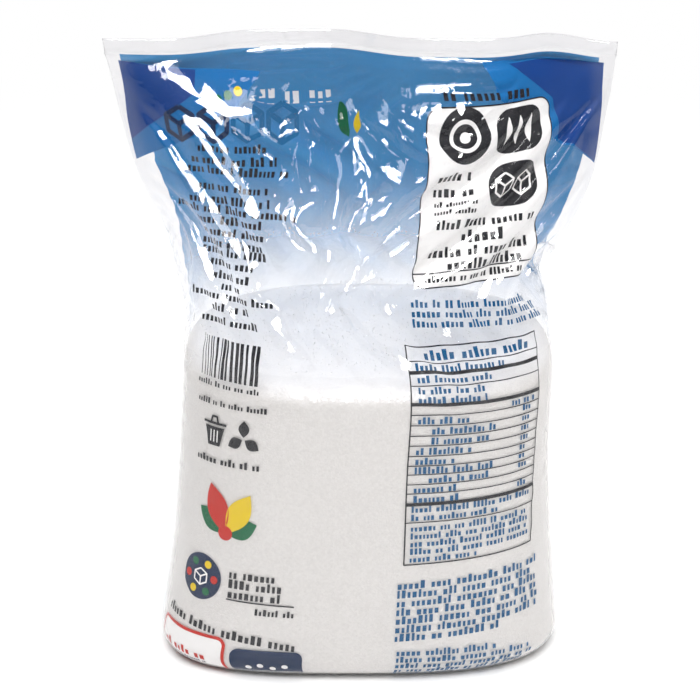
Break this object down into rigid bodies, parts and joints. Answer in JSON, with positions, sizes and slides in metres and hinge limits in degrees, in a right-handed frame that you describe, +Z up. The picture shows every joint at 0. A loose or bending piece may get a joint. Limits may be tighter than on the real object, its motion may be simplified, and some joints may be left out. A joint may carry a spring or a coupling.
{
  "type": "bag of sugar",
  "caption": "Clear sealed pillow bag of white sugar, standing upright, with slack film above the sugar and a flat wavy top seal.",
  "frame": {"origin": "middle of the base, on the surface the bag stands on", "axes": "+Z up, the shown panel faces -Y, +X to the viewer's right"},
  "size_m": [0.1774, 0.0942, 0.2255],
  "materials": {
    "clear_film": "clear glossy film over white sugar, with blue and dark print",
    "white_sugar": "fine white grains, matte",
    "blue_print": "translucent blue ink under glossy film",
    "dark_print": "dark ink under glossy film",
    "white_print": "white ink under glossy film",
    "colour_print": "small red, yellow and green print under glossy film"
  },
  "bodies": {
    "root": {"sugar_bag": "clear_film"}
  },
  "joints": []
}
